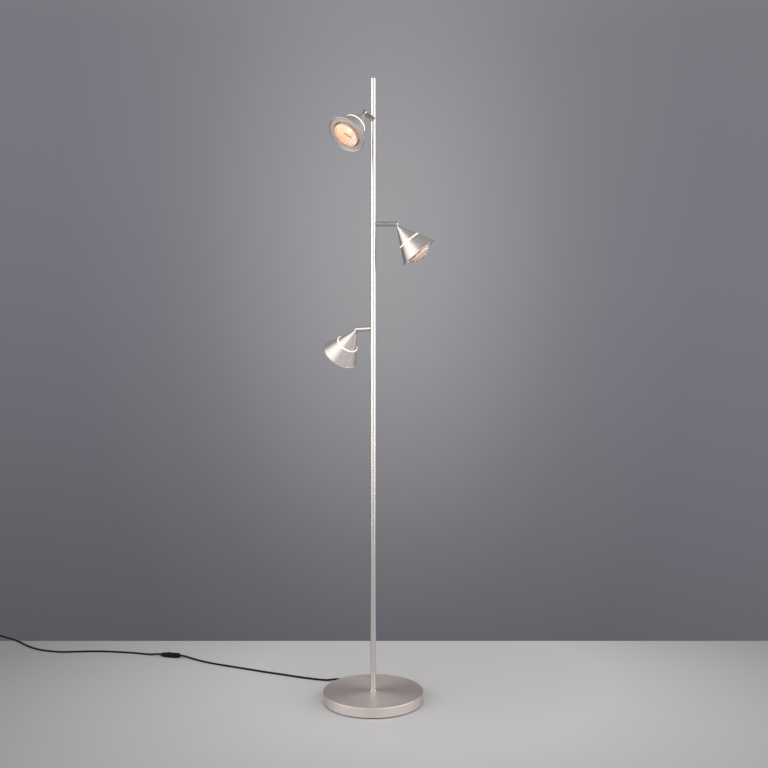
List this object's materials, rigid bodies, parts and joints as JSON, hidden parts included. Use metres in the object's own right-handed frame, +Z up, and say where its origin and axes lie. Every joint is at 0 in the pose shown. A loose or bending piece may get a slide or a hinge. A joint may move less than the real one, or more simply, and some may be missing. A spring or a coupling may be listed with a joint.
{
  "type": "floor lamp",
  "caption": "Slim floor lamp on a round weighted base, with cone spot heads that swivel and tilt on short arms along one pole, and a floor cord with an in-line switch and plug.",
  "frame": {"origin": "on the floor at the middle of the base's pad, on the axis of the pole", "axes": "+Z up along the pole; +X to the right of someone who faces the lamp and looks along +Y, along the middle arm"},
  "size_m": [1.5082, 0.7547, 1.555],
  "materials": {
    "nickel": "satin-brushed nickel plating",
    "nickel_inner": "satin nickel, inside of the mouth",
    "zinc": "zinc plated",
    "plug_nickel": "bright nickel plating",
    "iron": "cast, dark lacquer",
    "brass": "turned",
    "rubber": "matte",
    "cord_black": "matt black sheath",
    "switch_black": "fine moulded texture",
    "rocker_black": "smooth",
    "tie_grey": "soft strap",
    "frosted_ring": "frosted, lit warm white from inside",
    "holder_ceramic": "unglazed",
    "lamp_reflector": "aluminised reflector bowl",
    "lamp_glass": "clear domed front"
  },
  "bodies": {
    "stand": {"base_pad": "rubber", "base_weight": "iron", "base_cover": "nickel", "base_nipple": "brass", "base_washer": "zinc", "base_nut": "zinc", "cord_clamp": "zinc", "clamp_screws": "brass", "cord_gland": "cord_black", "inner_lead": "cord_black", "pole_collar": "nickel", "pole_lower": "nickel", "pole_coupler": "brass", "pole_upper": "nickel", "pole_cap": "nickel", "swivel_screws": "zinc", "arm_tube_top": "nickel", "arm_tube_mid": "nickel", "arm_tube_low": "nickel", "cord_run_1": "cord_black", "switch_bottom": "switch_black", "switch_top": "switch_black", "switch_screws": "zinc", "switch_contacts": "brass", "cord_run_2": "cord_black", "cord_coil": "cord_black", "cord_tie": "tie_grey", "plug_body": "switch_black", "plug_pins": "plug_nickel"},
    "rocker": {"switch_rocker": "rocker_black"},
    "swivel_top": {"swivel_fork_top": "nickel", "tilt_pin_top": "zinc"},
    "head_top": {"head_neck_top": "nickel", "rear_cone_top": "nickel", "light_ring_top": "frosted_ring", "front_cone_top": "nickel", "glare_ring_top": "nickel_inner", "lampholder_top": "holder_ceramic", "lamp_body_top": "lamp_reflector", "lamp_lens_top": "lamp_glass"},
    "swivel_mid": {"swivel_fork_mid": "nickel", "tilt_pin_mid": "zinc"},
    "head_mid": {"head_neck_mid": "nickel", "rear_cone_mid": "nickel", "light_ring_mid": "frosted_ring", "front_cone_mid": "nickel", "glare_ring_mid": "nickel_inner", "lampholder_mid": "holder_ceramic", "lamp_body_mid": "lamp_reflector", "lamp_lens_mid": "lamp_glass"},
    "swivel_low": {"swivel_fork_low": "nickel", "tilt_pin_low": "zinc"},
    "head_low": {"head_neck_low": "nickel", "rear_cone_low": "nickel", "light_ring_low": "frosted_ring", "front_cone_low": "nickel", "glare_ring_low": "nickel_inner", "lampholder_low": "holder_ceramic", "lamp_body_low": "lamp_reflector", "lamp_lens_low": "lamp_glass"}
  },
  "joints": [
    {"name": "swivel_top", "type": "hinge", "parent": "stand", "child": "swivel_top", "pos_m": [-0.01949, -0.05356, 1.453], "axis": [-0.342, -0.9397, 0], "range_deg": [-139, 181]},
    {"name": "tilt_top", "type": "hinge", "parent": "swivel_top", "child": "head_top", "pos_m": [-0.01949, -0.05356, 1.453], "axis": [0.8773, -0.3193, -0.3584], "range_deg": [-51, 39]},
    {"name": "swivel_mid", "type": "hinge", "parent": "stand", "child": "swivel_mid", "pos_m": [0.057, 0, 1.191], "axis": [1, 0, 0], "range_deg": [-163, 157]},
    {"name": "tilt_mid", "type": "hinge", "parent": "swivel_mid", "child": "head_mid", "pos_m": [0.057, 0, 1.191], "axis": [0, 0.9986, 0.0523], "range_deg": [-51, 39]},
    {"name": "swivel_low", "type": "hinge", "parent": "stand", "child": "swivel_low", "pos_m": [-0.04202, 0.03851, 0.93], "axis": [-0.7373, 0.6756, 0], "range_deg": [-154, 166]},
    {"name": "tilt_low", "type": "hinge", "parent": "swivel_low", "child": "head_low", "pos_m": [-0.04202, 0.03851, 0.93], "axis": [-0.6719, -0.7332, -0.1045], "range_deg": [-44, 46]},
    {"name": "switch_press", "type": "hinge", "parent": "stand", "child": "rocker", "pos_m": [-0.592, 0.354, 0.00747], "axis": [0.225, 0.9744, 0], "range_deg": [-14, 0]}
  ]
}
